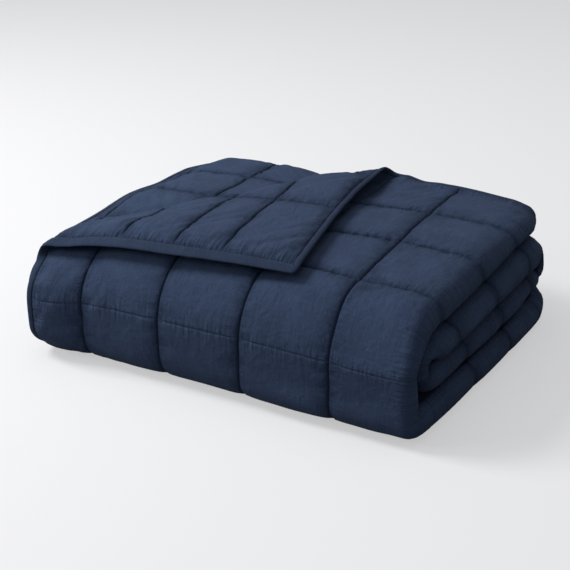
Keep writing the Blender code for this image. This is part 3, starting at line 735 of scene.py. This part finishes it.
# ---- quilting thread ------------------------------------------------------------------------
# Navy polyester, lockstitched through both cloths along every seam. Each stitch stands a little
# proud of the cloth, and dips into it at its ends.
STITCH = {"Spacing": 0.0042, "Length": 0.0034, "Thread": 0.00062}
THREAD_PROUD = 0.0006
RUN_STEP = 0.003


def seam_runs(seams, side):
    """Rows of across, along and up on the cloth, for seams given from one address to another."""
    found = []
    for across_from, along_from, across_to, along_to in seams:
        longest = max(abs(across_to - across_from), abs(along_to - along_from))
        steps = int(longest / RUN_STEP)
        across = np.linspace(across_from, across_to, steps)
        along = np.linspace(along_from, along_to, steps)
        up = height(across, along, side) + side * THREAD_PROUD
        found.append(np.stack((across, along, up), axis=1))
    return found


def chains(name, runs, side):
    """The runs as chains of points joined by edges, each with the way up from the cloth."""
    points, ups, edges, count = [], [], [], 0
    for run in runs:
        low = place(*run.T)
        high = place(run[:, 0], run[:, 1], run[:, 2] + side * MILLIMETRE)
        points.append(low)
        ups.append((high - low) / MILLIMETRE)
        edges += [(count + i, count + i + 1) for i in range(len(run) - 1)]
        count += len(run)
    mesh = bpy.data.meshes.new(name)
    mesh.from_pydata(np.concatenate(points).tolist(), edges, [])
    up = mesh.attributes.new("Up", "FLOAT_VECTOR", "POINT")
    up.data.foreach_set("vector", np.concatenate(ups).ravel())
    return add_to_scene(name, mesh)


def stitch_tree():
    """Geometry Nodes: one stitch at every step of the chains of points."""
    tree = bpy.data.node_groups.new("row of stitches", "GeometryNodeTree")
    tree.interface.new_socket("Geometry", in_out="INPUT", socket_type="NodeSocketGeometry")
    for label in ("Spacing", "Length", "Thread"):
        tree.interface.new_socket(label, in_out="INPUT", socket_type="NodeSocketFloat")
    tree.interface.new_socket("Material", in_out="INPUT", socket_type="NodeSocketMaterial")
    tree.interface.new_socket("Geometry", in_out="OUTPUT", socket_type="NodeSocketGeometry")
    given = node(tree, "NodeGroupInput").outputs
    curve = node(tree, "GeometryNodeMeshToCurve", {0: given["Geometry"]}).outputs[0]
    even = node(tree, "GeometryNodeResampleCurve", {"Curve": curve, "Length": given["Spacing"]},
                mode="LENGTH").outputs[0]
    half = maths(tree, "MULTIPLY", given["Length"], 0.5)
    sunk = maths(tree, "MULTIPLY", given["Thread"], -0.9)
    ends = [node(tree, "ShaderNodeCombineXYZ",
                 {0: maths(tree, "MULTIPLY", half, sign), 2: sunk}).outputs[0]
            for sign in (-1.0, 1.0)]
    crest = node(tree, "ShaderNodeCombineXYZ", {2: given["Thread"]}).outputs[0]
    arc = node(tree, "GeometryNodeCurveQuadraticBezier",
               {"Resolution": 3, "Start": ends[0], "Middle": crest, "End": ends[1]}).outputs[0]
    radius = maths(tree, "MULTIPLY", given["Thread"], 0.5)
    section = node(tree, "GeometryNodeCurvePrimitiveCircle",
                   {"Resolution": 4, "Radius": radius}).outputs[0]
    stitch = node(tree, "GeometryNodeCurveToMesh",
                  {"Curve": arc, "Profile Curve": section, "Fill Caps": True}).outputs[0]
    heading = node(tree, "GeometryNodeInputTangent").outputs[0]
    up = node(tree, "GeometryNodeInputNamedAttribute", {"Name": "Up"},
              data_type="FLOAT_VECTOR").outputs[0]
    turn = node(tree, "FunctionNodeAlignRotationToVector", {"Vector": heading},
                axis="X").outputs[0]
    turn = node(tree, "FunctionNodeAlignRotationToVector", {"Rotation": turn, "Vector": up},
                axis="Z", pivot_axis="X").outputs[0]
    row = node(tree, "GeometryNodeInstanceOnPoints",
               {"Points": even, "Instance": stitch, "Rotation": turn}).outputs[0]
    solid = node(tree, "GeometryNodeRealizeInstances", {0: row}).outputs[0]
    done = node(tree, "GeometryNodeSetMaterial",
                {"Geometry": solid, "Material": given["Material"]}).outputs[0]
    node(tree, "NodeGroupOutput", {0: done})
    return tree


stitches = stitch_tree()


def sewn(name, runs, side, material):
    """The stitches along some runs, as one plain mesh."""
    guide = chains(name + "_guide", runs, side)
    modifier = guide.modifiers.new("stitches", "NODES")
    modifier.node_group = stitches
    values = dict(STITCH, Material=material)
    for socket in stitches.interface.items_tree:
        if socket.in_out == "INPUT" and socket.name in values:
            modifier[socket.identifier] = values[socket.name]
    view = bpy.context.evaluated_depsgraph_get()
    mesh = bpy.data.meshes.new_from_object(guide.evaluated_get(view))
    mesh.name = name
    bpy.data.objects.remove(guide)
    mesh.shade_smooth()
    return add_to_scene(name, mesh)


THREAD_COLOURS = ((0.026, 0.040, 0.078, 1.0), (0.048, 0.070, 0.122, 1.0))


def thread_material():
    """Navy polyester thread: a little lighter and shinier than the cotton."""
    material = new_material("navy thread")
    tree = material.node_tree
    spot = node(tree, "ShaderNodeTexCoord").outputs["Object"]
    twist = node(tree, "ShaderNodeTexNoise", {"Vector": spot, "Scale": 900.0}).outputs[0]
    finish_material(material, THREAD_COLOURS, twist, maths(tree, "MULTIPLY", twist, 0.08),
                    roughness=0.55, sheen=0.10)
    return material


thread_finish = thread_material()

SEWN_FROM = 0.006                       # a seam's first stitch, from the edge of the cloth
SHOWN_ALONG = 0.74                      # the top and the front, measured along the cloth
UNCOVERED_ACROSS = 0.86                 # from here across, the inner half is uncovered
face_seams = [(seam, SEWN_FROM, seam, SHOWN_ALONG) for seam in OUTER_SEAMS]
for seam in CROSS_SEAMS:
    first = SEWN_FROM if seam < SHOWN_ALONG else OUTER_WIDTH - 0.02
    face_seams.append((first, seam, INNER_START, seam))
face_thread = sewn("face_thread", seam_runs(face_seams, 1), 1, thread_finish)

# the seams of the turned corner run up to the ridge
back_seams = []
for seam in TURNED_SEAMS:
    ridge = RIDGE_ALONG * (1.0 - seam / RIDGE_ACROSS)
    back_seams.append((seam, SEWN_FROM, seam, ridge - 0.03))
for seam in TURNED_CROSS_SEAMS:
    ridge = RIDGE_ACROSS * (1.0 - seam / RIDGE_ALONG)
    back_seams.append((SEWN_FROM, seam, ridge - 0.02, seam))
back_seams += [(UNCOVERED_ACROSS, seam, WIDTH - SEWN_FROM, seam)
               for seam in UNCOVERED_CROSS_SEAMS[:3]]
back_seams += [(seam, SEWN_FROM, seam, UNCOVERED_ALONG) for seam in INNER_SEAMS[1:]]
back_thread = sewn("back_thread", seam_runs(back_seams, -1), -1, thread_finish)
for piece in (face_thread, back_thread):
    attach(piece, "root")


# ---- binding --------------------------------------------------------------------------------
# A bias strip of plain navy cotton, folded over all four raw edges and sewn through. It stands
# round and full beside the quilting, and its stitches draw it into fine puckers.
UPPER_SECTION = ((-0.0014, 0.0012), (-0.0009, 0.0020), (0.0008, 0.0025), (0.0036, 0.0028),
                 (0.0066, 0.0025), (0.0087, 0.0015))
TIP_OUT = 0.0096                        # how far it stands out from the edge of the cloth
STRIP_STEP = 0.0022
PUCKER_DEPTH, PUCKER_SPACING = 0.0005, 0.0046
STRIP_SEED = 90


def edge_stations(step):
    """Rows round the four edges: address, direction away from the cloth, and distance run."""
    corners = ((0.0, 0.0), (0.0, LENGTH), (WIDTH, LENGTH), (WIDTH, 0.0))
    found, before = [], 0.0
    for i in range(4):
        start, end = np.array(corners[i]), np.array(corners[(i + 1) % 4])
        run = np.abs(end - start).max()
        ahead = (end - start) / run
        out = np.array((-ahead[1], ahead[0]))
        for reach in np.linspace(0.0, run, round(run / step) + 1):
            found.append((*(start + ahead * reach), *out, before + reach))
        for turn in np.linspace(0.0, pi / 2.0, 7)[1:-1]:
            found.append((*end, *(out * np.cos(turn) + ahead * np.sin(turn)), before + run))
        before += run
    return np.array(found)


def strip(name):
    """The folded strip as a closed tube round the edges."""
    rows = edge_stations(STRIP_STEP)
    lower = [(out, -up) for out, up in reversed(UPPER_SECTION)]
    section = np.array(list(UPPER_SECTION) + [(TIP_OUT, 0.0)] + lower)
    count, sides = len(rows), len(section)
    out, up = np.tile(section[:, 0], count), np.tile(section[:, 1], count)
    across, along, out_across, out_along, run = np.repeat(rows, sides, axis=0).T
    fullness = noise(run / 0.030, np.sign(up) * 0.5, STRIP_SEED) * 0.05
    pucker = noise(run / PUCKER_SPACING, np.sign(up) * 0.5, STRIP_SEED + 1) * ramp(out, 0.006, 0.0)
    waver = 0.5 + 0.5 * noise(run / 0.012, run * 0.0, STRIP_SEED + 2)
    up = up * (1.0 + fullness) - np.sign(up) * PUCKER_DEPTH * (0.5 + 0.5 * pucker)
    out = out - PUCKER_DEPTH * waver * ramp(out, 0.0, 0.01)
    points = place(across + out_across * out, along + out_along * out, up)
    number = np.arange(count * sides).reshape(count, sides)
    after, beside = np.roll(number, -1, axis=0), np.roll(number, -1, axis=1)
    quads = np.stack((number, beside, np.roll(after, -1, axis=1), after), -1).reshape(-1, 4)
    mesh = bpy.data.meshes.new(name)
    mesh.from_pydata(points.tolist(), [], quads.tolist())
    girth = np.tile(np.arange(sides) * STRIP_STEP, count)
    address = np.stack((run, girth), 1)[quads.ravel()].reshape(-1, 4, 2)
    address[(count - 1) * sides:, 2:, 0] = run[-1] + STRIP_STEP
    address[sides - 1::sides, 1:3, 1] = sides * STRIP_STEP
    flat = mesh.uv_layers.new(name="Flat strip")
    flat.data.foreach_set("uv", address.ravel())
    edge_share = mesh.attributes.new("Outer edge", "FLOAT", "POINT")
    edge_share.data.foreach_set("value", ramp(out, 0.004, 0.011))
    mesh.shade_smooth()
    return add_to_scene(name, mesh)


BINDING_COLOURS = ((0.0135, 0.0230, 0.048, 1.0), (0.0245, 0.039, 0.077, 1.0))


def binding_material():
    """Plain navy cotton on the bias, a little paler along its outer edge."""
    material = new_material("navy binding cotton")
    tree = material.node_tree
    spot = node(tree, "ShaderNodeUVMap", uv_map="Flat strip").outputs[0]
    bias = node(tree, "ShaderNodeMapping", {"Vector": spot, "Rotation": (0.0, 0.0, pi / 4.0)})
    weave = node(tree, "ShaderNodeGroup", {"Position": bias.outputs[0], "Yarn": 0.0005,
                                           "Slub width": 0.0012, "Slub length": 0.012},
                 node_tree=weave_group)
    paler_edge = maths(tree, "MULTIPLY", attribute(tree, "Outer edge"), 0.08)
    tone = maths(tree, "ADD", weave.outputs["Tone"], paler_edge)
    finish_material(material, BINDING_COLOURS, tone, weave.outputs["Height"],
                    roughness=0.90, sheen=0.02)
    return material


binding = strip("binding_strip")
binding.data.materials.append(binding_material())

# its stitches run close to its inner edge, above and below
EDGE_STITCH_OUT, EDGE_STITCH_UP = 0.0008, 0.0025
line = edge_stations(RUN_STEP)
line = line[np.append(np.hypot(*np.diff(line[:, :2], axis=0).T) > 0.0, True)]
sewn_at = line[:, :2] + line[:, 2:4] * EDGE_STITCH_OUT
upper_run, lower_run = (np.column_stack((sewn_at, np.full(len(line), side * EDGE_STITCH_UP)))
                        for side in (1, -1))
upper_thread = sewn("upper_binding_thread", [upper_run], 1, thread_finish)
lower_thread = sewn("lower_binding_thread", [lower_run], -1, thread_finish)
for piece in (binding, upper_thread, lower_thread):
    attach(piece, "root")
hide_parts("binding")


# ---- floor, light and camera ----------------------------------------------------------------
# A plain floor of pale paper. A broad weak light hangs overhead, a strong one stands at the
# upper left and a small one at the front left. The camera looks down at the right-hand end.
FLOOR_HALF = 9.0
floor_mesh = bpy.data.meshes.new("floor")
floor_mesh.from_pydata([(-FLOOR_HALF, -FLOOR_HALF, 0.0), (FLOOR_HALF, -FLOOR_HALF, 0.0),
                        (FLOOR_HALF, FLOOR_HALF, 0.0), (-FLOOR_HALF, FLOOR_HALF, 0.0)],
                       [], [(0, 1, 2, 3)])
floor = add_to_scene("floor", floor_mesh)
paper = new_material("pale paper")
paper_shader = paper.node_tree.nodes["Principled BSDF"]
paper_shader.inputs["Roughness"].default_value = 0.9
# the paper glows a little towards the camera only, so that it throws less light on the stack
seen = node(paper.node_tree, "ShaderNodeLightPath").outputs["Is Camera Ray"]
paper_colour = node(paper.node_tree, "ShaderNodeMix",
                    {0: seen, 6: (0.25, 0.25, 0.255, 1.0), 7: (0.31, 0.31, 0.313, 1.0)},
                    data_type="RGBA").outputs[2]
paper.node_tree.links.new(paper_colour, paper_shader.inputs["Base Color"])
paper_shader.inputs["Emission Color"].default_value = (0.99, 0.99, 1.0, 1.0)
glow = maths(paper.node_tree, "MULTIPLY", seen, 0.49)
paper.node_tree.links.new(glow, paper_shader.inputs["Emission Strength"])
floor_mesh.materials.append(paper)

world = bpy.data.worlds.new("studio")
world.use_nodes = True
world.node_tree.nodes["Background"].inputs["Color"].default_value = (0.93, 0.96, 1.0, 1.0)
world.node_tree.nodes["Background"].inputs["Strength"].default_value = 0.32
bpy.context.scene.world = world


def soft_light(name, place_at, size, power):
    """A square area light that faces the stack."""
    light = bpy.data.lights.new(name, "AREA")
    light.size = size
    light.energy = power
    lamp = add_to_scene(name, light)
    lamp.location = place_at
    towards = Vector((0.0, 0.0, 0.1)) - Vector(place_at)
    lamp.rotation_euler = towards.to_track_quat("-Z", "Y").to_euler()


soft_light("overhead light", place_at=(-0.6, 0.2, 2.8), size=3.2, power=20.0)
soft_light("left light", place_at=(-2.4, -0.6, 2.3), size=1.1, power=103.0)
soft_light("front light", place_at=(-1.5, -1.4, 0.9), size=0.7, power=13.0)

CAMERA_AT = Vector((0.80761, -1.2430, 0.77065)) - Vector(STACK_MIDDLE)
PITCH, YAW = 0.388217, 0.506206         # down from level, and left of +Y
FRAME_PIXELS, FOCAL_PIXELS = 570, 1237.47
ahead = Vector((-np.sin(YAW) * np.cos(PITCH), np.cos(YAW) * np.cos(PITCH), -np.sin(PITCH)))
right = Vector((np.cos(YAW), np.sin(YAW), 0.0))
turn = Matrix((right, right.cross(ahead), -ahead)).transposed()
lens = bpy.data.cameras.new("camera")
lens.lens = FOCAL_PIXELS / FRAME_PIXELS * lens.sensor_width
camera = add_to_scene("camera", lens)
camera.matrix_world = Matrix.Translation(CAMERA_AT) @ turn.to_4x4()
bpy.context.scene.camera = camera
bpy.context.scene.view_settings.view_transform = "Standard"
